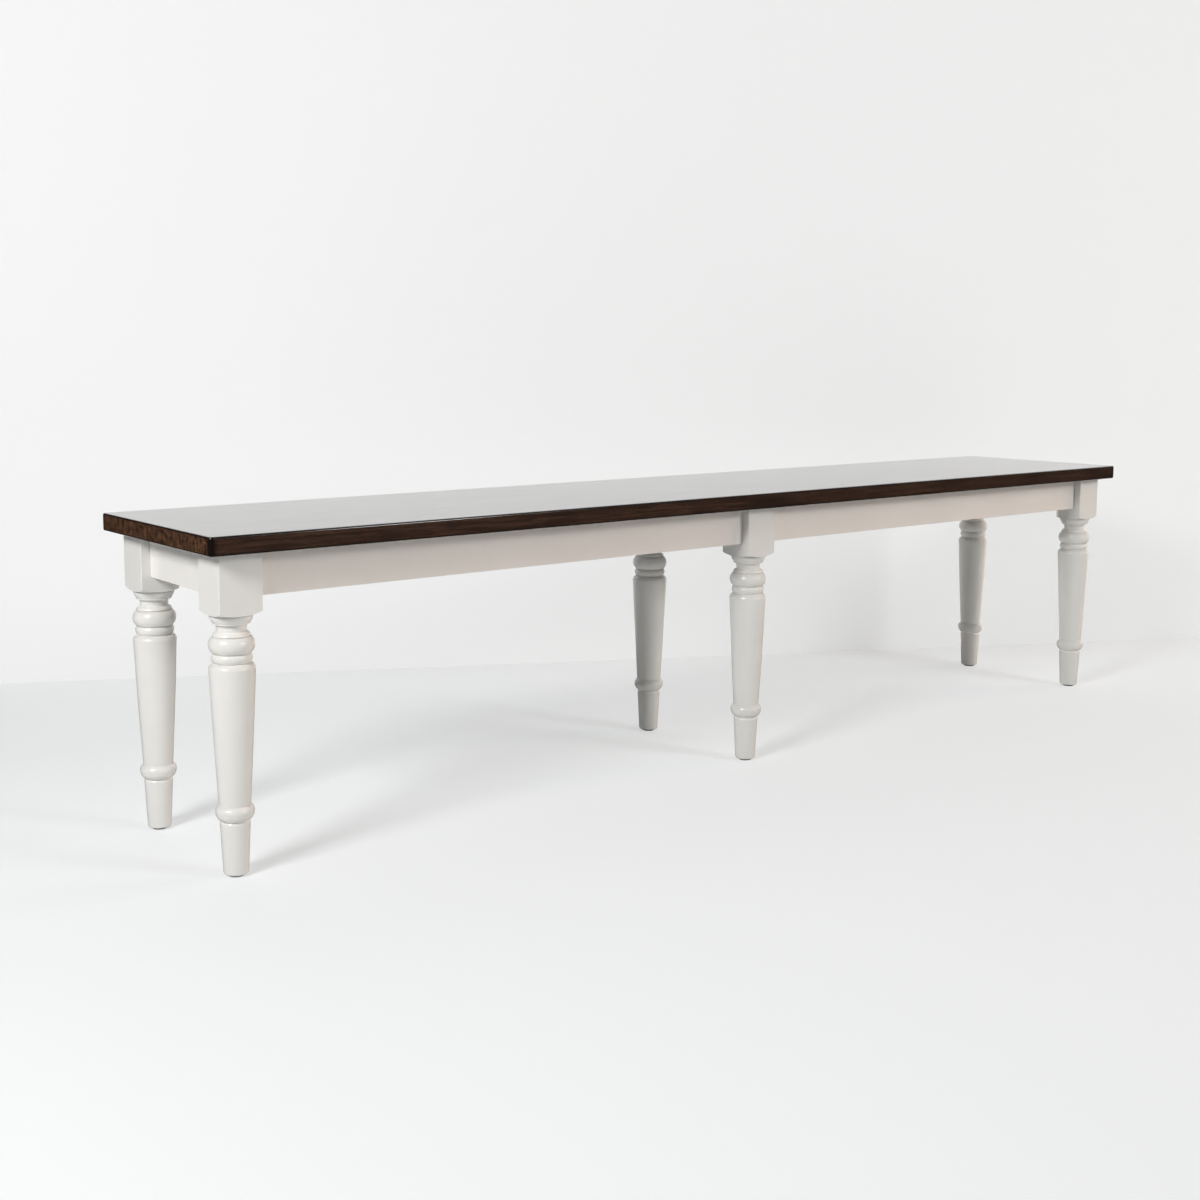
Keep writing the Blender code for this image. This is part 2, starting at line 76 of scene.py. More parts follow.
# Square part of the leg
LEG_SIDES = 96
LEG_EDGE_RADIUS = 0.0014
LEG_PLANE_CUTS = 24
APRON_HEIGHT = 0.060
BLOCK_REVEAL = 0.0173
BOLT_FLAT_DEPTH = 0.0085

# Turnings of the leg, from the square down: lengths along the leg and radii
POMMEL_LENGTH = 0.0055
POMMEL_RADIUS = 0.0298
POMMEL_SWELL = 0.0006
COLLAR_GROOVE_RADIUS = 0.0279
COLLAR_RADIUS = 0.0286
COLLAR_LENGTH = 0.0095
COLLAR_SWELL = 0.0007
FILLET_RADIUS = 0.0245
FILLET_LENGTH = 0.0014
NECK_RADIUS = 0.0207
NECK_LENGTH = 0.0099
NECK_HOLLOW = 0.0005
FLARE_TOP_RADIUS = 0.0197
FLARE_RADIUS = 0.0251
FLARE_LENGTH = 0.0057
FLARE_SWELL = 0.0012
BULB_END_RADIUS = 0.0256
BULB_LENGTH = 0.0212
BULB_SWELL = 0.0047
GROOVE_RADIUS = 0.0238
GROOVE_LENGTH = 0.0012
RING_END_RADIUS = 0.0248
RING_LENGTH = 0.0110
RING_SWELL = 0.0022
SHOULDER_LENGTH = 0.0092
SHOULDER_SWELL = 0.0019
SHAFT_TOP_RADIUS = 0.0304
SHAFT_FOOT_RADIUS = 0.0209
SHAFT_SWELL = 0.0003
ANKLE_RADIUS = 0.0253
ANKLE_UPPER_LENGTH = 0.0104
ANKLE_UPPER_SWELL = 0.0020
ANKLE_LOWER_LENGTH = 0.0104
ANKLE_LOWER_SWELL = 0.0018
ANKLE_GROOVE_RADIUS = 0.0180
FOOT_TOP_RADIUS = 0.0199
FOOT_TOP_ROUND = 0.0042
FOOT_TOP_SWELL = 0.0006
FOOT_LENGTH = 0.0680
FOOT_TIP_RADIUS = 0.0166
FOOT_TIP_ROUND = 0.0028
FOOT_TIP_SWELL = 0.0007
TURNED_EDGE_SOFTNESS = 0.0002
TURNED_EDGE_ANGLE = math.radians(20)

# Levelling glide and its insert
GLIDE_SIDES = 48
GLIDE_PAD_EASE = 0.0008
GLIDE_PAD_SWELL = 0.29 * GLIDE_PAD_EASE
GLIDE_PAD_THICKNESS = 0.0024
GLIDE_STEM_RADIUS = 0.0040
GLIDE_GAP = 0.0003

# Threads, nuts and screws
THREAD_SIDES = 20
MACHINE_PITCH = 0.00125
MACHINE_DEPTH = 0.00068
WOOD_PITCH = 0.0018
WOOD_DEPTH = 0.0006
SCREW_RADIUS = 0.0020
SCREW_HEAD_SIDES = 32
SCREW_HEAD_FLAT = 0.7
SCREW_HEAD_HEIGHT = 0.0028
SCREW_CROWN = 0.0007
CROSS_REACH = 0.0022
CROSS_HALF_WIDTH = 0.00045
CROSS_DEPTH = 0.0014
CROSS_TAPER = 0.55
EDGE_BREAK = 0.0003
NUT_SIDES = 6
NUT_CHAMFER = 0.0010

# Corner blocks: which edges are broken, and how far
BLOCK_EDGE_RADIUS = 0.0010
BLOCK_EDGE_LENGTH = 0.015
BLOCK_EDGE_ANGLE = 0.5
BLOCK_FLATNESS = math.radians(1)


# Shaping


def bevel(bm, geom, radius, segments, affect="EDGES"):
    """Round edges or corners to a radius."""
    return bmesh.ops.bevel(
        bm, geom=geom, offset=radius, segments=segments, profile=0.5, affect=affect, material=-1
    )


def box_between(low, high):
    """A box from its lowest to its highest corner."""
    bm = bmesh.new()
    bmesh.ops.create_cube(bm, size=1.0)
    bmesh.ops.scale(bm, vec=high - low, verts=bm.verts)
    bmesh.ops.translate(bm, vec=(low + high) / 2, verts=bm.verts)
    return bm


def turn(profile, sides, closed=False, softness=0.0):
    """Turn a profile of (radius, height) points about Z. A closed one makes a ring."""
    bm = bmesh.new()
    verts = [bm.verts.new((radius, 0.0, height)) for radius, height in profile]
    for pair in zip(verts, verts[1:]):
        bm.edges.new(pair)
    if closed:
        bm.edges.new((verts[-1], verts[0]))
    if softness:
        corners = [vert for vert in verts[1:-1] if bend_at(vert) > TURNED_EDGE_ANGLE]
        bevel(bm, corners, softness, EDGE_STEPS, affect="VERTICES")
    outline = bm.verts[:] + bm.edges[:]
    bmesh.ops.spin(
        bm, geom=outline, cent=(0, 0, 0), axis=(0, 0, 1), angle=math.tau, steps=sides, use_merge=True
    )
    bmesh.ops.remove_doubles(bm, verts=bm.verts, dist=MERGE_DISTANCE)
    bmesh.ops.recalc_face_normals(bm, faces=bm.faces)
    return bm


def bend_at(vert):
    """How far an outline turns at one of its points."""
    first, second = (edge.other_vert(vert).co - vert.co for edge in vert.link_edges)
    return math.pi - first.angle(second)


def arc(start, end, swell):
    """Points of a circular arc from start to end, both (radius, height), in a profile that runs down.

    swell is how far the middle of the arc stands out from the chord; a negative swell is a hollow.
    """
    first, last = Vector(start), Vector(end)
    along = (last - first).normalized()
    outward = Vector((-along.y, along.x)) * math.copysign(1.0, swell)
    half = (last - first).length / 2
    reach = abs(swell)
    radius = (half * half + reach * reach) / (2 * reach)
    sweep = 2 * math.atan2(half, radius - reach)
    centre = (first + last) / 2 + outward * (reach - radius)
    steps = max(3, math.ceil(sweep / ARC_STEP))
    points = []
    for step in range(steps + 1):
        angle = sweep * (step / steps - 0.5)
        points.append(tuple(centre + (along * math.sin(angle) + outward * math.cos(angle)) * radius))
    return points


def plane_off(bm, normal, distance):
    """Plane the shape flat where it passes distance along normal, and close the face."""
    bmesh.ops.bisect_plane(
        bm,
        geom=bm.verts[:] + bm.edges[:] + bm.faces[:],
        plane_co=normal * distance,
        plane_no=normal,
        clear_outer=True,
        dist=MERGE_DISTANCE,
    )
    open_edges = [edge for edge in bm.edges if edge.is_boundary]
    bmesh.ops.holes_fill(bm, edges=open_edges, sides=0)


def thread(radius, depth, pitch, low, high):
    """A helical thread along Z, closed at both ends."""
    bm = bmesh.new()
    turns = max(1, round((high - low) / pitch) - 1)
    root = radius - depth
    section = ((root, low), (radius, low + pitch / 2), (root, low + pitch))
    verts = [bm.verts.new((reach, 0.0, height)) for reach, height in section]
    edges = [bm.edges.new(pair) for pair in zip(verts, verts[1:])]
    bmesh.ops.spin(
        bm,
        geom=verts + edges,
        cent=(0, 0, 0),
        axis=(0, 0, 1),
        dvec=(0, 0, pitch / THREAD_SIDES),
        angle=math.tau * turns,
        steps=THREAD_SIDES * turns,
    )
    bmesh.ops.remove_doubles(bm, verts=bm.verts, dist=MERGE_DISTANCE)
    bmesh.ops.holes_fill(bm, edges=[edge for edge in bm.edges if edge.is_boundary], sides=0)
    bmesh.ops.recalc_face_normals(bm, faces=bm.faces)
    return bm


def join(bm, other):
    """Add another shape to this one."""
    mesh = bpy.data.meshes.new("joined")
    other.to_mesh(mesh)
    other.free()
    bm.from_mesh(mesh)
    bpy.data.meshes.remove(mesh)


def stand_along(bm, direction, start):
    """Lay a shape that was made along Z from zero along a direction, from a start point."""
    turned = UP.rotation_difference(direction).to_matrix().to_4x4()
    bmesh.ops.transform(bm, matrix=Matrix.Translation(start) @ turned, verts=bm.verts)


def add_piece(name, bm, finish, body, slot, *nodes):
    """Make a finished piece that rides on a body and stands for the frame's nodes."""
    mesh = bpy.data.meshes.new(name)
    bm.to_mesh(mesh)
    bm.free()
    mesh.materials.append(finish)
    mesh.shade_smooth()
    mesh.set_sharp_from_angle(angle=SMOOTH_ANGLE)
    piece = bpy.data.objects.new(name, mesh)
    bpy.context.scene.collection.objects.link(piece)
    weighted = piece.modifiers.new("flat_faces_stay_flat", "WEIGHTED_NORMAL")
    weighted.keep_sharp = True
    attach(piece, body)
    if nodes:
        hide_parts(*nodes)
    return piece


# Pieces


def add_seat():
    """The seat slab, with round corners and eased edges."""
    bm = box_between(*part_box("seat_top"))
    upright = [edge for edge in bm.edges if edge.verts[0].co.z != edge.verts[1].co.z]
    bevel(bm, upright, SEAT_CORNER_RADIUS, SEAT_CORNER_STEPS)
    rims = [edge for edge in bm.edges if edge.verts[0].co.z == edge.verts[1].co.z]
    bevel(bm, rims, SEAT_EDGE_RADIUS, SEAT_EDGE_STEPS)
    add_piece("seat_board", bm, stained_wood(), "bench", "seat_wood", "seat_top")


def groove(radius, top):
    """The two corners at the bottom of a square groove."""
    return [(radius, top), (radius, top - GROOVE_LENGTH)]


def leg_profile(half, low, high, insert_radius, insert_top, stem_top):
    """The leg's outline from the top of its blank down to its foot and up into the glide's bore."""
    blank_radius = half * math.sqrt(2) / math.cos(math.pi / LEG_SIDES) + MERGE_DISTANCE
    block_bottom = high - APRON_HEIGHT - BLOCK_REVEAL
    pommel_end = block_bottom - POMMEL_LENGTH
    collar_top = pommel_end - GROOVE_LENGTH
    fillet_top = collar_top - COLLAR_LENGTH
    neck_top = fillet_top - FILLET_LENGTH
    flare_top = neck_top - NECK_LENGTH
    flare_end = flare_top - FLARE_LENGTH
    bulb_top = flare_end - GROOVE_LENGTH
    bulb_end = bulb_top - BULB_LENGTH
    ring_top = bulb_end - GROOVE_LENGTH
    ring_end = ring_top - RING_LENGTH
    shoulder_top = ring_end - GROOVE_LENGTH
    shaft_top = shoulder_top - SHOULDER_LENGTH
    foot_top = low + FOOT_LENGTH
    ankle_bottom = foot_top + FOOT_TOP_ROUND
    ankle_middle = ankle_bottom + ANKLE_LOWER_LENGTH
    shaft_foot = ankle_middle + ANKLE_UPPER_LENGTH
    tip_top = low + FOOT_TIP_ROUND
    ankle_end = (ANKLE_GROOVE_RADIUS, ankle_bottom)
    tip_end = (FOOT_TIP_RADIUS - FOOT_TIP_ROUND, low)
    stem_bore = GLIDE_STEM_RADIUS + GLIDE_GAP
    stem_bore_top = stem_top + GLIDE_GAP
    insert_bore = insert_radius + GLIDE_GAP
    insert_bore_top = insert_top + GLIDE_GAP

    profile = [(0, high), (blank_radius, high)]
    profile += arc((blank_radius, block_bottom), (POMMEL_RADIUS, pommel_end), POMMEL_SWELL)
    profile += groove(COLLAR_GROOVE_RADIUS, pommel_end)
    profile += arc((COLLAR_RADIUS, collar_top), (FILLET_RADIUS, fillet_top), COLLAR_SWELL)
    profile.append((FILLET_RADIUS, neck_top))
    profile += arc((NECK_RADIUS, neck_top), (FLARE_TOP_RADIUS, flare_top), -NECK_HOLLOW)
    profile += arc((FLARE_TOP_RADIUS, flare_top), (FLARE_RADIUS, flare_end), FLARE_SWELL)[1:]
    profile += groove(GROOVE_RADIUS, flare_end)
    profile += arc((BULB_END_RADIUS, bulb_top), (BULB_END_RADIUS, bulb_end), BULB_SWELL)
    profile += groove(GROOVE_RADIUS, bulb_end)
    profile += arc((RING_END_RADIUS, ring_top), (RING_END_RADIUS, ring_end), RING_SWELL)
    profile += groove(GROOVE_RADIUS, ring_end)
    profile += arc((RING_END_RADIUS, shoulder_top), (SHAFT_TOP_RADIUS, shaft_top), SHOULDER_SWELL)
    profile += arc((SHAFT_TOP_RADIUS, shaft_top), (SHAFT_FOOT_RADIUS, shaft_foot), SHAFT_SWELL)[1:]
    profile += arc((SHAFT_FOOT_RADIUS, shaft_foot), (ANKLE_RADIUS, ankle_middle), ANKLE_UPPER_SWELL)[1:]
    profile += arc((ANKLE_RADIUS, ankle_middle), ankle_end, ANKLE_LOWER_SWELL)[1:]
    profile += arc(ankle_end, (FOOT_TOP_RADIUS, foot_top), FOOT_TOP_SWELL)[1:]
    profile += arc((FOOT_TIP_RADIUS, tip_top), tip_end, FOOT_TIP_SWELL)
    profile += [(insert_bore, low), (insert_bore, insert_bore_top), (stem_bore, insert_bore_top)]
    profile += [(stem_bore, stem_bore_top), (0, stem_bore_top)]
    return profile


def plane_square(bm, half):
    """Plane a turned blank to a square with rounded corners, by cuts that follow its outline round."""
    inner = half - LEG_EDGE_RADIUS
    for step in range(LEG_PLANE_CUTS):
        angle = math.tau * step / LEG_PLANE_CUTS
        normal = Vector((math.cos(angle), math.sin(angle), 0))
        plane_off(bm, normal, inner * (abs(normal.x) + abs(normal.y)) + LEG_EDGE_RADIUS)


def cut_mortise(bm, rail, outward, axis, half):
    """Sink a mortise for a rail's tenon into the side of the leg's block that faces outward."""
    low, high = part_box(rail)
    size = high - low
    width = min(size.x, size.y) / 2 - TENON_SHOULDER + JOINT_GAP
    rise = size.z / 2 - TENON_SHOULDER + JOINT_GAP
    centre = (low + high) / 2
    centre += outward * ((axis - centre).dot(outward) + half)
    across = UP.cross(outward)
    for direction, reach in ((across, width), (-across, width), (UP, rise), (-UP, rise)):
        side = face_round(bm, outward, centre)
        geom = [side] + side.edges[:] + side.verts[:]
        bmesh.ops.bisect_plane(bm, geom=geom, plane_co=centre + direction * reach, plane_no=direction)
        bm.normal_update()
    sunk = bmesh.ops.extrude_discrete_faces(bm, faces=[face_round(bm, outward, centre)])
    bmesh.ops.translate(bm, vec=-outward * TENON_LENGTH, verts=sunk["faces"][0].verts[:])
    bm.normal_update()


def face_round(bm, outward, centre):
    """The flat face round a point on the side of the block."""
    facing = [face for face in bm.faces if face.normal.dot(outward) > FACING]
    return next(face for face in facing if bmesh.geometry.intersect_face_point(face, centre))


def rails_at(place, x_sign, y_sign):
    """The rails that a leg holds, each with the direction that it leaves the leg in."""
    side, station = place.split("_")
    inward = Vector((0, -y_sign, 0))
    if x_sign:
        return {f"{place}_apron": Vector((-x_sign, 0, 0)), f"{station}_end_apron": inward}
    aprons = {f"{side}_{end}_apron": Vector((end_sign, 0, 0)) for end, end_sign in ENDS.items()}
    return {**aprons, "middle_cross_rail": inward}


def add_leg(place, x_sign, y_sign):
    """A leg: a turned blank planed square at the top, with mortises and a flat for the bolt."""
    low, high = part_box(place + "_leg")
    insert_low, insert_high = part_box(place + "_glide_insert")
    axis = (low + high) / 2
    half = (high.x - low.x) / 2
    insert_radius = (insert_high.x - insert_low.x) / 2
    stem_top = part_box(place + "_glide")[1].z
    profile = leg_profile(half, low.z, high.z, insert_radius, insert_high.z, stem_top)
    bm = turn(profile, LEG_SIDES, softness=TURNED_EDGE_SOFTNESS)
    plane_square(bm, half)
    if x_sign:
        inward = Vector((-x_sign, -y_sign, 0)).normalized()
        plane_off(bm, inward, half * math.sqrt(2) - BOLT_FLAT_DEPTH)
    bmesh.ops.translate(bm, vec=(axis.x, axis.y, 0), verts=bm.verts)
    bm.normal_update()
    for rail, outward in rails_at(place, x_sign, y_sign).items():
        cut_mortise(bm, rail, outward, axis, half)
    finish = finishes["paint_upright"]
    add_piece(place + "_turned_leg", bm, finish, "bench", "painted_wood", place + "_leg")


def rail_shape(low, high):
    """A rail along X with eased edges and a shouldered tenon at each end."""
    reach = Vector((TENON_LENGTH, 0, 0))
    bm = box_between(low + reach, high - reach)
    bevel(bm, bm.edges[:], RAIL_EDGE_RADIUS, EDGE_STEPS)
    bm.normal_update()
    shoulder = TENON_SHOULDER - RAIL_EDGE_RADIUS
    for end in [face for face in bm.faces if abs(face.normal.x) > FACING]:
        outward = end.normal.copy()
        bmesh.ops.inset_region(bm, faces=[end], thickness=shoulder, use_even_offset=True)
        grown = bmesh.ops.extrude_discrete_faces(bm, faces=[end])
        bmesh.ops.translate(bm, vec=outward * TENON_LENGTH, verts=grown["faces"][0].verts[:])
    return bm


def add_rail(node, name, finish):
    """One apron or rail, made along X and turned to lie along its own length."""
    low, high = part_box(node)
    centre, size = (low + high) / 2, high - low
    lies_across = size.y > size.x
    if lies_across:
        size = Vector((size.y, size.x, size.z))
    bm = rail_shape(-size / 2, size / 2)
    if lies_across:
        turned = Matrix.Rotation(QUARTER_TURN, 3, "Z")
        bmesh.ops.rotate(bm, cent=(0, 0, 0), matrix=turned, verts=bm.verts)
    bmesh.ops.translate(bm, vec=centre, verts=bm.verts)
    add_piece(name, bm, finish, "bench", "painted_wood", node)


def add_rails():
    """The side aprons, end aprons and cross rail."""
    for side in SIDES:
        for end in ENDS:
            add_rail(f"{side}_{end}_apron", f"{side}_{end}_apron_board", finishes["paint_lengthwise"])
    for end in ENDS:
        add_rail(f"{end}_end_apron", f"{end}_end_apron_board", finishes["paint_crosswise"])
    add_rail("middle_cross_rail", "middle_cross_rail_board", finishes["paint_crosswise"])


def add_corner_block(place, finish):
    """A corner block with its edges broken."""
    node = place + "_corner_block"
    bm = bmesh.new()
    bm.from_mesh(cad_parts[node].data)
    bmesh.ops.remove_doubles(bm, verts=bm.verts, dist=NODE_MERGE_DISTANCE)
    bmesh.ops.dissolve_limit(bm, angle_limit=BLOCK_FLATNESS, verts=bm.verts, edges=bm.edges)
    long = [edge for edge in bm.edges if edge.calc_length() > BLOCK_EDGE_LENGTH]
    broken = [edge for edge in long if edge.calc_face_angle() > BLOCK_EDGE_ANGLE]
    bevel(bm, broken, BLOCK_EDGE_RADIUS, EDGE_STEPS)
    add_piece(place + "_corner_brace", bm, finish, "bench", "bare_wood", node)


def diagonal_run(node, direction):
    """The start, length and radius of a round node that lies along a corner's diagonal."""
    low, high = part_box(node)
    radius = (high.z - low.z) / 2
    length = (high.x - low.x) * math.sqrt(2) - 2 * radius
    return (low + high) / 2 - direction * length / 2, length, radius


def straight_run(node, direction):
    """The start, length and radius of a round node that lies along X, Y or Z."""
    low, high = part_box(node)
    size = high - low
    length = max(size)
    return (low + high) / 2 - direction * length / 2, length, min(size) / 2


def add_bolt(place, inward):
    """A hanger bolt with its washer and nut, along the corner's diagonal."""
    start, length, radius = diagonal_run(place + "_hanger_bolt", inward)
    bm = thread(radius, MACHINE_DEPTH, MACHINE_PITCH, 0, length)
    stand_along(bm, inward, start)
    add_piece(place + "_bolt", bm, finishes["zinc"], "bench", "zinc_steel", place + "_hanger_bolt")
    bore = radius + GLIDE_GAP

    start, length, radius = diagonal_run(place + "_bolt_washer", inward)
    section = [
        (bore, 0),
        (radius - EDGE_BREAK, 0),
        (radius, EDGE_BREAK),
        (radius, length - EDGE_BREAK),
        (radius - EDGE_BREAK, length),
        (bore, length),
    ]
    bm = turn(section, GLIDE_SIDES, closed=True)
    stand_along(bm, inward, start)
    add_piece(place + "_washer", bm, finishes["zinc"], "bench", "zinc_steel", place + "_bolt_washer")

    low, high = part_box(place + "_bolt_nut")
    half_side = math.pi / NUT_SIDES
    corner = (high.z - low.z) / 2
    flat = corner * math.cos(half_side)
    length = (high.x - low.x) * math.sqrt(2) - 2 * flat
    start = (low + high) / 2 - inward * length / 2
    section = [
        (bore, EDGE_BREAK),
        (bore + EDGE_BREAK, 0),
        (flat, 0),
        (corner, NUT_CHAMFER),
        (corner, length - NUT_CHAMFER),
        (flat, length),
        (bore + EDGE_BREAK, length),
        (bore, length - EDGE_BREAK),
    ]
    bm = turn(section, GLIDE_SIDES, closed=True)
    for step in range(NUT_SIDES):
        angle = half_side + step * 2 * half_side
        plane_off(bm, Vector((math.cos(angle), math.sin(angle), 0)), flat)
    stand_along(bm, inward, start)
    add_piece(place + "_nut", bm, finishes["zinc"], "bench", "zinc_steel", place + "_bolt_nut")


def screw_head(radius):
    """A low domed head with a cross recess, its top at zero and its seat up the Z axis."""
    bm = bmesh.new()
    bmesh.ops.create_circle(bm, segments=SCREW_HEAD_SIDES, radius=radius * SCREW_HEAD_FLAT)
    rim_edges = bm.edges[:]
    arm = (
        Vector((CROSS_REACH, -CROSS_HALF_WIDTH, 0)),
        Vector((CROSS_REACH, CROSS_HALF_WIDTH, 0)),
        Vector((CROSS_HALF_WIDTH, CROSS_HALF_WIDTH, 0)),
    )
    cross = []
    for quarter in range(4):
        spun = Matrix.Rotation(quarter * QUARTER_TURN, 3, "Z")
        cross += [bm.verts.new(spun @ corner) for corner in arm]
    cross_edges = [bm.edges.new(pair) for pair in zip(cross, cross[1:] + cross[:1])]
    bmesh.ops.bridge_loops(bm, edges=rim_edges + cross_edges)
    sunk = bmesh.ops.extrude_edge_only(bm, edges=cross_edges)["geom"]
    floor = [item for item in sunk if isinstance(item, bmesh.types.BMVert)]
    bmesh.ops.scale(bm, vec=(CROSS_TAPER, CROSS_TAPER, 1), verts=floor)
    bmesh.ops.translate(bm, vec=(0, 0, CROSS_DEPTH), verts=floor)
    side = (
        (radius - EDGE_BREAK, SCREW_CROWN),
        (radius, SCREW_CROWN + EDGE_BREAK),
        (radius, SCREW_HEAD_HEIGHT),
    )
    ring = rim_edges
    for reach, height in side:
        grown = bmesh.ops.extrude_edge_only(bm, edges=ring)["geom"]
        ring = [item for item in grown if isinstance(item, bmesh.types.BMEdge)]
        verts = [item for item in grown if isinstance(item, bmesh.types.BMVert)]
        for vert in verts:
            vert.co.xy = vert.co.xy.normalized() * reach
            vert.co.z = height
    bmesh.ops.holes_fill(bm, edges=[edge for edge in bm.edges if edge.is_boundary], sides=0)
    bmesh.ops.recalc_face_normals(bm, faces=bm.faces)
    return bm


def add_screw(node, name, direction):
    """A wood screw driven along a direction."""
    start, length, radius = straight_run(node, direction)
    bm = screw_head(radius)
    join(bm, thread(SCREW_RADIUS, WOOD_DEPTH, WOOD_PITCH, SCREW_HEAD_HEIGHT, length))
    stand_along(bm, direction, start)
    add_piece(name, bm, finishes["zinc"], "bench", "zinc_steel", node)


def add_corners():
    """The corner blocks with their bolts and screws."""
    for side, y_sign in SIDES.items():
        for end, x_sign in ENDS.items():
            place = f"{side}_{end}"
            along = "block_rising" if x_sign == y_sign else "block_falling"
            add_corner_block(place, finishes[along])
            add_bolt(place, Vector((-x_sign, -y_sign, 0)).normalized())
            add_screw(place + "_side_apron_screw", place + "_side_screw", Vector((0, y_sign, 0)))
            add_screw(place + "_end_apron_screw", place + "_end_screw", Vector((x_sign, 0, 0)))
            add_screw(place + "_seat_screw", place + "_board_screw", UP)
    for side in SIDES:
        add_screw(side + "_rail_seat_screw", side + "_rail_screw", UP)


def add_glide(place):
    """A levelling glide under a foot: a nylon pad on a threaded stem, and the insert that holds it."""
    low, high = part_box(place + "_glide")
    axis = Vector(((low.x + high.x) / 2, (low.y + high.y) / 2, 0))
    radius = (high.x - low.x) / 2
    top = low.z + GLIDE_PAD_THICKNESS
    inner = radius - GLIDE_PAD_EASE
    pad = [(0, top)]
    pad += arc((inner, top), (radius, top - GLIDE_PAD_EASE), GLIDE_PAD_SWELL)
    pad += arc((radius, low.z + GLIDE_PAD_EASE), (inner, low.z), GLIDE_PAD_SWELL)
    pad.append((0, low.z))
    bm = turn(pad, GLIDE_SIDES)
    bmesh.ops.translate(bm, vec=axis, verts=bm.verts)
    body = place + "_foot"
    add_piece(place + "_glide_pad", bm, finishes["nylon"], body, "glide_nylon", place + "_glide")

    bm = thread(GLIDE_STEM_RADIUS, MACHINE_DEPTH, MACHINE_PITCH, top, high.z)
    bmesh.ops.translate(bm, vec=axis, verts=bm.verts)
    add_piece(place + "_glide_stem", bm, finishes["zinc"], body, "zinc_steel")

    insert = place + "_glide_insert"
    low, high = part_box(insert)
    radius = (high.x - low.x) / 2
    bore = GLIDE_STEM_RADIUS + GLIDE_GAP
    section = [
        (bore, low.z + EDGE_BREAK),
        (bore + EDGE_BREAK, low.z),
        (radius - EDGE_BREAK, low.z),
        (radius, low.z + EDGE_BREAK),
        (radius, high.z),
        (bore, high.z),
    ]
    bm = turn(section, GLIDE_SIDES, closed=True)
    bmesh.ops.translate(bm, vec=axis, verts=bm.verts)
    add_piece(place + "_foot_insert", bm, finishes["zinc"], "bench", "zinc_steel", insert)


# Finishes: tones run from darker to lighter, and bumps are depths

# Paint, and the tint of each of its copies along a way of the grain; the rails' tints are painted light
PAINT_TONES = ((0.795, 0.778, 0.738), (0.825, 0.810, 0.772))
PAINT_ROUGHNESS = (0.19, 0.24)
PAINT_BUMP = 0.000003
LEG_TINT = (0.98, 0.98, 0.99)
# Painted light: the side rails' paint is warmer for the warm fill on them, the end rails' lighter against
# the shade under the seat's end
SIDE_RAIL_WARM_LIGHT_TINT = (1.045, 0.995, 0.985)
END_RAIL_LIGHTER_TINT = (1.06, 1.055, 1.055)

# Stain of the seat, the marks that darken it, its darker edges (gathered stain and painted dark reflection),
# and the lacquer
SEAT_STAVES = 4
STAVE_SHIFT = (5.0, 0.09, 0.05)
SEAT_HEART_DEPTH = 0.055
BAND_SHARE = 0.7
BAND_TONES = ((0.026, 0.0135, 0.0095, 1), (0.080, 0.0425, 0.0265, 1))
CLOUD_TONES = ((0.040, 0.0200, 0.0130, 1), (0.070, 0.0360, 0.0230, 1))
STAIN_MARKS = {
    "Streak": (0.45, (0.022, 0.0115, 0.0080, 1)),
    "Ring": (0.40, (0.018, 0.009, 0.006, 1)),
    "Pore": (0.60, (0.010, 0.006, 0.004, 1)),
}
END_GRAIN_TONES = ((0.018, 0.0095, 0.0064, 1), (0.136, 0.0670, 0.0350, 1))
END_GRAIN_DEPTH = 0.0025
END_STREAK_SHARE = 0.3
# Near-black painted on the rounded edges and corners: partly gathered stain, partly a painted dark
# reflection
EDGE_STAIN_AND_DARK_REFLECTION = (0.009, 0.0055, 0.0042, 1)
DARK_EDGE_DEPTH = 0.0035
DARK_CORNER_DEPTH = 0.012
SEAT_ROUGHNESS = (0.16, 0.26)
SEAT_BUMP = 0.000012
LACQUER_WEIGHT = (0.78, 0.86)
LACQUER_ROUGHNESS = 0.07

# Bare wood of the corner blocks
BLOCK_HEART_HEIGHT = 0.33
BLOCK_TONES = ((0.50, 0.34, 0.20, 1), (0.62, 0.45, 0.28, 1))
BLOCK_MARKS = {"Ring": (0.5, (0.40, 0.25, 0.135, 1)), "Streak": (0.3, (0.36, 0.22, 0.12, 1))}
BLOCK_ROUGHNESS = (0.60, 0.75)
BLOCK_BUMP = 0.00008

# Zinc plate and nylon
ZINC_TONES = ((0.58, 0.57, 0.55, 1), (0.66, 0.63, 0.55, 1))
ZINC_ROUGHNESS = (0.26, 0.42)
ZINC_BUMP = 0.00001
NYLON_TONES = ((0.105, 0.098, 0.092, 1), (0.128, 0.119, 0.111, 1))
NYLON_ROUGHNESS = (0.45, 0.65)
NYLON_BUMP = 0.00003


def node(tree, kind, feeds=None, **settings):
    """Add a node; feeds gives each input a value or the socket that drives it."""
    made = tree.nodes.new(kind)
    for name, value in settings.items():
        setattr(made, name, value)
    for key, value in (feeds or {}).items():
        if isinstance(value, bpy.types.NodeSocket):
            tree.links.new(value, made.inputs[key])
        else:
            made.inputs[key].default_value = value
    return made


def math_node(tree, operation, first, second=0.0):
    """The result of a Math node."""
    return node(tree, "ShaderNodeMath", {0: first, 1: second}, operation=operation).outputs[0]


def mix_colour(tree, factor, first, second):
    """A blend of two colours."""
    feeds = {0: factor, 6: first, 7: second}
    return node(tree, "ShaderNodeMix", feeds, data_type="RGBA").outputs[2]


def mix_value(tree, factor, first, second):
    """A blend of two values."""
    return node(tree, "ShaderNodeMix", {0: factor, 2: first, 3: second}).outputs[0]


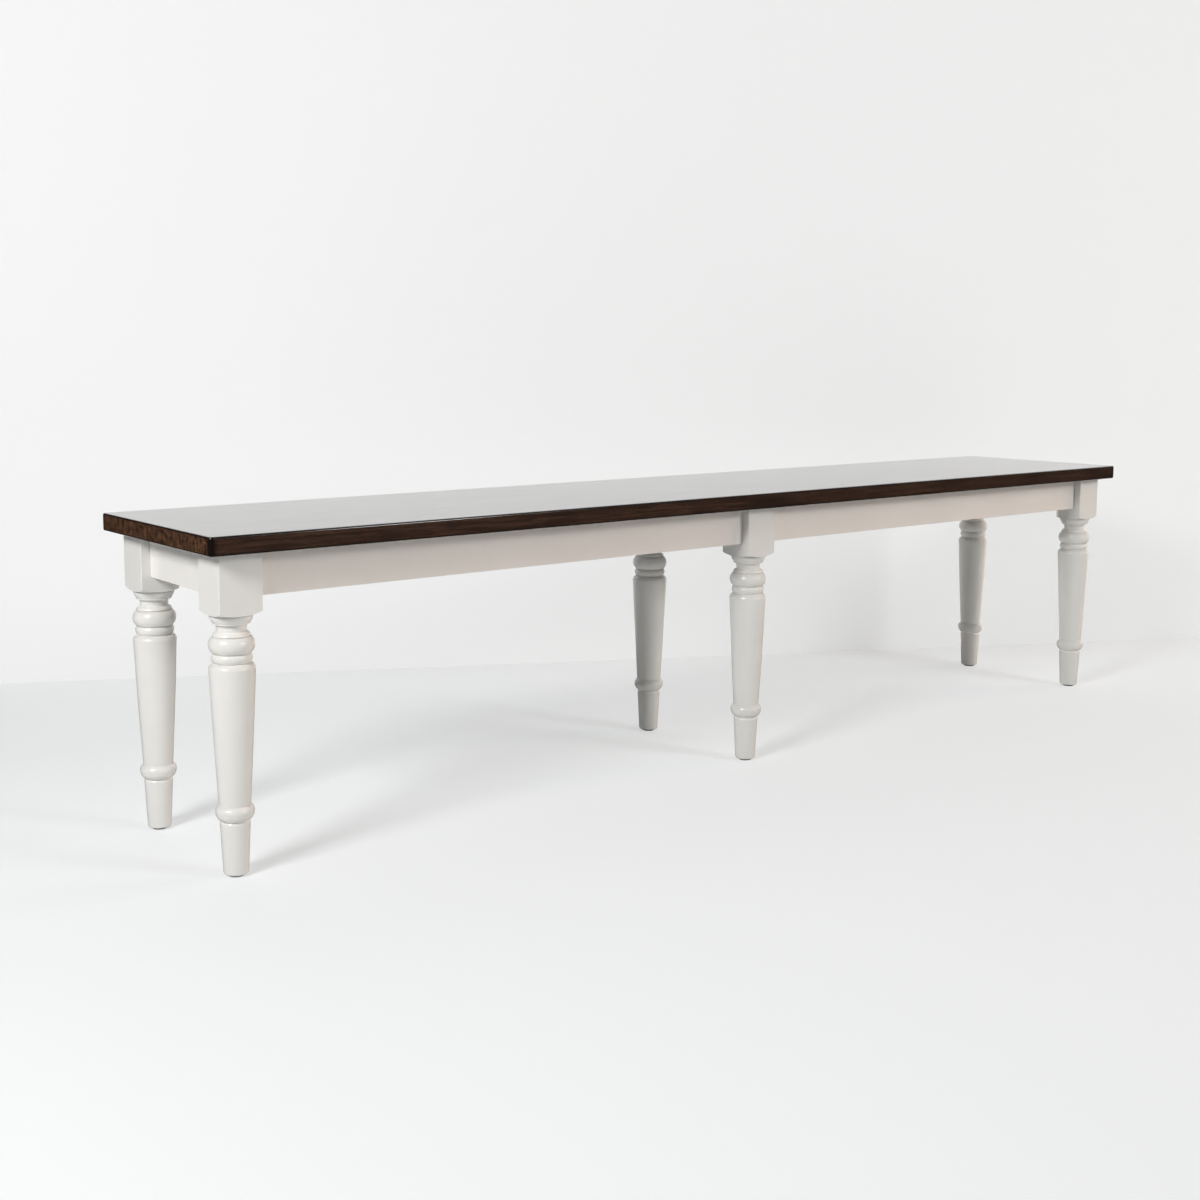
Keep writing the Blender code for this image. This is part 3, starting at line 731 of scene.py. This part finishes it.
def map_range(tree, value, low, high, to_low, to_high):
    """A value stretched from one range to another, and held inside it."""
    feeds = {"Value": value, "From Min": low, "From Max": high, "To Min": to_low, "To Max": to_high}
    return node(tree, "ShaderNodeMapRange", feeds).outputs[0]


def stretched(tree, vector, scale):
    """Coordinates scaled along each axis."""
    feeds = {0: vector, 1: scale}
    return node(tree, "ShaderNodeVectorMath", feeds, operation="MULTIPLY").outputs[0]


def noise(tree, vector, scale, detail=2.0, roughness=0.5):
    """The value of a noise pattern."""
    feeds = {"Vector": vector, "Scale": scale, "Detail": detail, "Roughness": roughness}
    return node(tree, "ShaderNodeTexNoise", feeds).outputs[0]


def new_group(name, outputs):
    """A shader node group that reads coordinates in metres, with X along the grain."""
    group = bpy.data.node_groups.new(name, "ShaderNodeTree")
    group.interface.new_socket("Vector", in_out="INPUT", socket_type="NodeSocketVector")
    for label in outputs:
        group.interface.new_socket(label, in_out="OUTPUT", socket_type="NodeSocketFloat")
    vector = group.nodes.new("NodeGroupInput").outputs["Vector"]
    return group, vector, group.nodes.new("NodeGroupOutput")


def board_grain_group():
    """Solid wood: growth rings about a line under the board, streaks, pores and clouds of colour."""
    tree, vector, out = new_group("board_grain", ("Ring", "Band", "Streak", "Pore", "Cloud"))
    warp = noise(tree, stretched(tree, vector, (1.6, 9.0, 9.0)), 1.0, 3.0)
    flat = stretched(tree, vector, (0.0, 1.0, 1.0))
    radius = node(tree, "ShaderNodeVectorMath", {0: flat}, operation="LENGTH").outputs["Value"]
    warped = math_node(tree, "ADD", radius, math_node(tree, "MULTIPLY", warp, 0.030))
    rings = math_node(tree, "FRACT", math_node(tree, "MULTIPLY", warped, 230.0))
    tree.links.new(math_node(tree, "POWER", rings, 2.2), out.inputs["Ring"])
    band = noise(tree, stretched(tree, vector, (13.0, 210.0, 210.0)), 1.0, 2.0, 0.5)
    tree.links.new(map_range(tree, band, 0.36, 0.64, 0.0, 1.0), out.inputs["Band"])
    streak = noise(tree, stretched(tree, vector, (7.0, 420.0, 420.0)), 1.0, 3.0, 0.6)
    tree.links.new(map_range(tree, streak, 0.32, 0.68, 0.0, 1.0), out.inputs["Streak"])
    pore = noise(tree, stretched(tree, vector, (90.0, 1900.0, 1900.0)), 1.0, 2.0, 0.55)
    tree.links.new(map_range(tree, pore, 0.58, 0.70, 0.0, 1.0), out.inputs["Pore"])
    cloud = noise(tree, stretched(tree, vector, (3.5, 16.0, 16.0)), 1.0, 3.0, 0.6)
    tree.links.new(map_range(tree, cloud, 0.30, 0.70, 0.0, 1.0), out.inputs["Cloud"])
    return tree


def sprayed_coat_group():
    """A sprayed finish: its even tone, fine orange peel and the grain that shows through it."""
    tree, vector, out = new_group("sprayed_coat", ("Tone", "Peel", "Grain"))
    tone = noise(tree, vector, 9.0, 3.0, 0.55)
    tree.links.new(map_range(tree, tone, 0.3, 0.7, 0.0, 1.0), out.inputs["Tone"])
    tree.links.new(noise(tree, vector, 700.0, 2.0), out.inputs["Peel"])
    grain = noise(tree, stretched(tree, vector, (14.0, 620.0, 620.0)), 1.0, 2.0)
    tree.links.new(grain, out.inputs["Grain"])
    return tree


def new_finish(name):
    """A node material; returns it with its tree, its shader and its coordinates."""
    finish = bpy.data.materials.new(name)
    finish.use_nodes = True
    tree = finish.node_tree
    coordinates = node(tree, "ShaderNodeTexCoord").outputs["Object"]
    return finish, tree, tree.nodes["Principled BSDF"], coordinates


def turned_to_grain(tree, coordinates, rotation, location=(0, 0, 0)):
    """Coordinates turned so that X runs along the grain."""
    feeds = {"Vector": coordinates, "Rotation": rotation, "Location": location}
    return node(tree, "ShaderNodeMapping", feeds).outputs["Vector"]


def place_group(tree, group, vector):
    """A shared effect placed in a material."""
    made = node(tree, "ShaderNodeGroup", node_tree=group)
    tree.links.new(vector, made.inputs["Vector"])
    return made.outputs


def bump(tree, height, distance, strength=1.0):
    """A bump from a height map; distance is its depth."""
    feeds = {"Height": height, "Distance": distance, "Strength": strength}
    return node(tree, "ShaderNodeBump", feeds).outputs["Normal"]


def painted_wood(name, rotation, tint):
    """Off-white satin paint with the wood's grain just showing through."""
    finish, tree, shader, coordinates = new_finish(name)
    vector = turned_to_grain(tree, coordinates, rotation)
    coat = place_group(tree, groups["sprayed_coat"], vector)
    dark, pale = ((*(Vector(paint) * Vector(tint)), 1) for paint in PAINT_TONES)
    colour = mix_colour(tree, coat["Tone"], dark, pale)
    tree.links.new(colour, shader.inputs["Base Color"])
    tree.links.new(map_range(tree, coat["Tone"], 0.0, 1.0, *PAINT_ROUGHNESS), shader.inputs["Roughness"])
    height = math_node(tree, "ADD", math_node(tree, "MULTIPLY", coat["Peel"], 0.35), coat["Grain"])
    tree.links.new(bump(tree, height, PAINT_BUMP), shader.inputs["Normal"])
    return finish


def near_faces(tree, place, low, high, depth):
    """A mask of what lies within a depth of the seat's two faces across an axis."""
    reach = math_node(tree, "ABSOLUTE", math_node(tree, "SUBTRACT", place, (low + high) / 2))
    half = (high - low) / 2
    return map_range(tree, reach, half - depth, half - depth / 3, 0.0, 1.0)


def dark_edge_mask(tree, place, low, high):
    """A mask of the seat's rounded edges and corners: partly gathered stain, partly a painted dark
    reflection.
    """
    darkened = 0.0
    depths = {(1, 2): DARK_EDGE_DEPTH, (2, 0): DARK_EDGE_DEPTH, (0, 1): DARK_CORNER_DEPTH}
    for axes, depth in depths.items():
        first, second = (near_faces(tree, place[axis], low[axis], high[axis], depth) for axis in axes)
        darkened = math_node(tree, "MAXIMUM", math_node(tree, "MULTIPLY", first, second), darkened)
    return darkened


def end_grain(tree, coordinates):
    """The colour of the seat's sawn ends, where the stain sinks in unevenly."""
    blotch = noise(tree, stretched(tree, coordinates, (1.0, 105.0, 150.0)), 1.0, 5.0, 0.68)
    streak = noise(tree, stretched(tree, coordinates, (1.0, 520.0, 60.0)), 1.0, 2.0, 0.5)
    uneven = mix_value(tree, END_STREAK_SHARE, blotch, streak)
    factor = map_range(tree, uneven, 0.42, 0.60, 0.0, 1.0)
    return mix_colour(tree, factor, *END_GRAIN_TONES)


def darken(tree, wood, grain, marks):
    """A wood's colour with the marks of its grain laid over it, each with its share and colour."""
    for mark, (share, dark) in marks.items():
        wood = mix_colour(tree, math_node(tree, "MULTIPLY", grain[mark], share), wood, dark)
    return wood


def stained_wood():
    """Dark stained staves under a satin lacquer."""
    finish, tree, shader, coordinates = new_finish("stained_seat_wood")
    low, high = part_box("seat_top")
    stave = (high.y - low.y) / SEAT_STAVES
    place = node(tree, "ShaderNodeSeparateXYZ", {0: coordinates}).outputs
    across = math_node(tree, "SUBTRACT", place["Y"], low.y)
    index = math_node(tree, "FLOOR", math_node(tree, "DIVIDE", across, stave))
    chance = node(tree, "ShaderNodeTexWhiteNoise", {"W": index}, noise_dimensions="1D")
    shift = stretched(tree, chance.outputs["Color"], STAVE_SHIFT)
    feeds = {0: coordinates, 1: shift}
    moved = node(tree, "ShaderNodeVectorMath", feeds, operation="ADD").outputs[0]
    vector = turned_to_grain(tree, moved, (0, 0, 0), (0, 0, SEAT_HEART_DEPTH - low.z))
    grain = place_group(tree, groups["board_grain"], vector)
    banded = mix_colour(tree, grain["Band"], *BAND_TONES)
    warm = mix_colour(tree, grain["Cloud"], *CLOUD_TONES)
    wood = darken(tree, mix_colour(tree, BAND_SHARE, warm, banded), grain, STAIN_MARKS)
    sawn = near_faces(tree, place["X"], low.x, high.x, END_GRAIN_DEPTH)
    ended = mix_colour(tree, sawn, wood, end_grain(tree, coordinates))
    # The rounded edges and corners are painted near black: partly gathered stain, partly a painted dark
    # reflection
    stained = mix_colour(tree, dark_edge_mask(tree, place, low, high), ended, EDGE_STAIN_AND_DARK_REFLECTION)
    tree.links.new(stained, shader.inputs["Base Color"])
    tree.links.new(map_range(tree, grain["Streak"], 0.0, 1.0, *SEAT_ROUGHNESS), shader.inputs["Roughness"])
    ridges = math_node(tree, "MULTIPLY", grain["Streak"], 0.4)
    height = math_node(tree, "SUBTRACT", ridges, grain["Pore"])
    tree.links.new(bump(tree, height, SEAT_BUMP), shader.inputs["Normal"])
    lacquer = map_range(tree, grain["Band"], 0.0, 1.0, *LACQUER_WEIGHT)
    tree.links.new(lacquer, shader.inputs["Coat Weight"])
    shader.inputs["Coat Roughness"].default_value = LACQUER_ROUGHNESS
    return finish


def bare_wood(name, rotation):
    """Unfinished pale hardwood."""
    finish, tree, shader, coordinates = new_finish(name)
    vector = turned_to_grain(tree, coordinates, rotation, (0, 0, -BLOCK_HEART_HEIGHT))
    grain = place_group(tree, groups["board_grain"], vector)
    pale = mix_colour(tree, grain["Cloud"], *BLOCK_TONES)
    tree.links.new(darken(tree, pale, grain, BLOCK_MARKS), shader.inputs["Base Color"])
    tree.links.new(map_range(tree, grain["Streak"], 0.0, 1.0, *BLOCK_ROUGHNESS), shader.inputs["Roughness"])
    tree.links.new(bump(tree, grain["Streak"], BLOCK_BUMP), shader.inputs["Normal"])
    return finish


def zinc_steel():
    """Bright zinc plating with a faint yellow bloom."""
    finish, tree, shader, coordinates = new_finish("zinc_plated_steel")
    coat = place_group(tree, groups["sprayed_coat"], stretched(tree, coordinates, (8.0, 8.0, 8.0)))
    colour = mix_colour(tree, coat["Tone"], *ZINC_TONES)
    tree.links.new(colour, shader.inputs["Base Color"])
    tree.links.new(map_range(tree, coat["Tone"], 0.0, 1.0, *ZINC_ROUGHNESS), shader.inputs["Roughness"])
    tree.links.new(bump(tree, coat["Peel"], ZINC_BUMP), shader.inputs["Normal"])
    shader.inputs["Metallic"].default_value = 1.0
    return finish


def glide_nylon():
    """Moulded dark grey nylon with a fine matt grain."""
    finish, tree, shader, coordinates = new_finish("moulded_nylon")
    coat = place_group(tree, groups["sprayed_coat"], stretched(tree, coordinates, (4.0, 4.0, 4.0)))
    colour = mix_colour(tree, coat["Tone"], *NYLON_TONES)
    tree.links.new(colour, shader.inputs["Base Color"])
    tree.links.new(map_range(tree, coat["Peel"], 0.3, 0.7, *NYLON_ROUGHNESS), shader.inputs["Roughness"])
    tree.links.new(bump(tree, coat["Peel"], NYLON_BUMP), shader.inputs["Normal"])
    return finish


groups = {"board_grain": board_grain_group(), "sprayed_coat": sprayed_coat_group()}
finishes = {
    "paint_upright": painted_wood("painted_leg", (0, QUARTER_TURN, 0), LEG_TINT),
    # The rails' paints carry painted light in their tints: warm light on the side rails, lightened shade on
    # the end rails
    "paint_lengthwise": painted_wood("painted_side_rail", (0, 0, 0), SIDE_RAIL_WARM_LIGHT_TINT),
    "paint_crosswise": painted_wood("painted_end_rail", (0, 0, -QUARTER_TURN), END_RAIL_LIGHTER_TINT),
    "block_rising": bare_wood("corner_block_wood_rising", (0, 0, QUARTER_TURN / 2)),
    "block_falling": bare_wood("corner_block_wood_falling", (0, 0, -QUARTER_TURN / 2)),
    "zinc": zinc_steel(),
    "nylon": glide_nylon(),
}

add_seat()
for side_name, side_sign in SIDES.items():
    for station_name, station_sign in STATIONS.items():
        add_leg(f"{side_name}_{station_name}", station_sign, side_sign)
        add_glide(f"{side_name}_{station_name}")
add_rails()
add_corners()


# Stage, lights and camera

IMAGE_SIDE = 1200
SENSOR_WIDTH = 36.0
FOCAL_PIXELS = 1507.8
CENTRE_PIXEL = (553.9, 512.9)
CAMERA_PLACE = Vector((-1.7855, -1.9037, 0.6889))
CAMERA_YAW = math.radians(-37.686)
CAMERA_PITCH = math.radians(-6.166)
CAMERA_ROLL = math.radians(-0.134)

WALL_FOOT = Vector((0.323, 0.653, 0.0))
WALL_TURN = math.radians(-26.5)
WALL_LEFT = -1.35
WALL_RIGHT = 4.5
WALL_HEIGHT = 3.0
FLOOR_SIZE = 14.0
FLOOR_COLOUR = (0.885, 0.925, 0.945, 1)
WALL_COLOUR = (0.91, 0.925, 0.92, 1)
FLOOR_GLOW = 0.49
WALL_GLOW = 0.54
STAGE_SHADE = 0.985
STAGE_ROUGHNESS = 0.8

# Lamps: their place, width and height, power, colour, and whether the bench mirrors them
WHITE = (1.0, 1.0, 1.0)
SUNNY = (1.0, 0.99, 0.98)
WARM = (1.0, 0.76, 0.58)
LAMPS = {
    "soft_key": ((-3.1, -0.88, 1.95), (0.8, 0.8), 75.0, SUNNY, True),
    "front_fill": ((2.6, -5.0, 3.0), (2.4, 2.4), 52.0, WHITE, False),
    "front_lamp": ((1.6, -3.5, 1.9), (0.7, 0.7), 32.0, WHITE, True),
    "right_fill": ((6.35, -2.31, 1.81), (2.4, 2.4), 170.0, WARM, False),
}
LAMPS_AIM = Vector((-0.4, 0.0, 0.2))
DIM = (0.01, 0.01, 0.01, 1)
PALE = (0.88, 0.88, 0.88, 1)


def backdrop(name, colour, share):
    """A pale surface that shows a little lighter than it is lit, and not at all from behind."""
    finish, tree, shader, coordinates = new_finish(name)
    tone = noise(tree, coordinates, 1.5, 2.0)
    darker = (*(channel * STAGE_SHADE for channel in colour[:3]), 1)
    tinted = mix_colour(tree, tone, darker, colour)
    tree.links.new(tinted, shader.inputs["Base Color"])
    shader.inputs["Roughness"].default_value = STAGE_ROUGHNESS
    shader.inputs["Specular IOR Level"].default_value = 0.0
    glow = node(tree, "ShaderNodeEmission").outputs[0]
    path = node(tree, "ShaderNodeLightPath").outputs
    seen = math_node(tree, "MAXIMUM", path["Is Camera Ray"], path["Is Glossy Ray"])
    seen = math_node(tree, "MAXIMUM", seen, path["Is Transmission Ray"])
    lift = math_node(tree, "MULTIPLY", seen, share)
    lifted = node(tree, "ShaderNodeMixShader", {0: lift, 1: shader.outputs[0], 2: glow}).outputs[0]
    back = node(tree, "ShaderNodeNewGeometry").outputs["Backfacing"]
    clear = node(tree, "ShaderNodeBsdfTransparent").outputs[0]
    mixed = node(tree, "ShaderNodeMixShader", {0: back, 1: lifted, 2: clear}).outputs[0]
    tree.links.new(mixed, tree.nodes["Material Output"].inputs["Surface"])
    return finish


def add_sheet(name, finish, matrix, width, height):
    """A flat sheet of the stage, facing its own +Z."""
    bm = bmesh.new()
    bmesh.ops.create_grid(bm, x_segments=1, y_segments=1, size=0.5)
    bmesh.ops.scale(bm, vec=(width, height, 1), verts=bm.verts)
    bmesh.ops.transform(bm, matrix=matrix, verts=bm.verts)
    mesh = bpy.data.meshes.new(name)
    bm.to_mesh(mesh)
    bm.free()
    mesh.materials.append(finish)
    sheet = bpy.data.objects.new(name, mesh)
    bpy.context.scene.collection.objects.link(sheet)
    return sheet


def add_stage():
    """A pale floor, and a pale wall close behind the bench."""
    finish = backdrop("pale_floor", FLOOR_COLOUR, FLOOR_GLOW)
    floor = add_sheet("floor", finish, Matrix(), FLOOR_SIZE, FLOOR_SIZE)
    floor.visible_glossy = False
    middle = Matrix.Translation(((WALL_LEFT + WALL_RIGHT) / 2, WALL_HEIGHT / 2, 0))
    upright = Matrix.Rotation(QUARTER_TURN, 4, "X")
    matrix = Matrix.Translation(WALL_FOOT) @ Matrix.Rotation(WALL_TURN, 4, "Z") @ upright @ middle
    finish = backdrop("pale_wall", WALL_COLOUR, WALL_GLOW)
    wall = add_sheet("wall", finish, matrix, WALL_RIGHT - WALL_LEFT, WALL_HEIGHT)
    wall.visible_shadow = False


def add_lamps():
    """A soft key on the left, two lamps in front, and a warm one further off on the right."""
    for name, (place, size, power, colour, mirrored) in LAMPS.items():
        light = bpy.data.lights.new(name, "AREA")
        light.shape = "RECTANGLE"
        light.size, light.size_y = size
        light.energy = power
        light.color = colour
        lamp = bpy.data.objects.new(name, light)
        lamp.location = place
        lamp.rotation_euler = (Vector(place) - LAMPS_AIM).to_track_quat("Z", "Y").to_euler()
        lamp.visible_glossy = mirrored
        bpy.context.scene.collection.objects.link(lamp)


def add_world():
    """A dim studio all round, which shows pale to the camera."""
    world = bpy.data.worlds.new("studio")
    world.use_nodes = True
    tree = world.node_tree
    path = node(tree, "ShaderNodeLightPath").outputs
    colour = mix_colour(tree, path["Is Camera Ray"], DIM, PALE)
    tree.links.new(colour, tree.nodes["Background"].inputs["Color"])
    bpy.context.scene.world = world


def add_camera():
    """The camera at the photograph's place, with its picture's centre off the lens axis."""
    forward = Vector((
        -math.sin(CAMERA_YAW) * math.cos(CAMERA_PITCH),
        math.cos(CAMERA_YAW) * math.cos(CAMERA_PITCH),
        math.sin(CAMERA_PITCH),
    ))
    level = Vector((math.cos(CAMERA_YAW), math.sin(CAMERA_YAW), 0))
    down = forward.cross(level)
    right = level * math.cos(CAMERA_ROLL) + down * math.sin(CAMERA_ROLL)
    up = right.cross(forward)
    lens = bpy.data.cameras.new("camera")
    lens.sensor_width = SENSOR_WIDTH
    lens.lens = FOCAL_PIXELS / IMAGE_SIDE * SENSOR_WIDTH
    lens.shift_x = 0.5 - CENTRE_PIXEL[0] / IMAGE_SIDE
    lens.shift_y = CENTRE_PIXEL[1] / IMAGE_SIDE - 0.5
    lens.clip_start = 0.01
    camera = bpy.data.objects.new("camera", lens)
    turned = Matrix((right, up, -forward)).transposed().to_4x4()
    camera.matrix_world = Matrix.Translation(CAMERA_PLACE) @ turned
    bpy.context.scene.collection.objects.link(camera)
    bpy.context.scene.camera = camera


add_stage()
add_lamps()
add_world()
add_camera()
bpy.context.scene.view_settings.view_transform = "Standard"
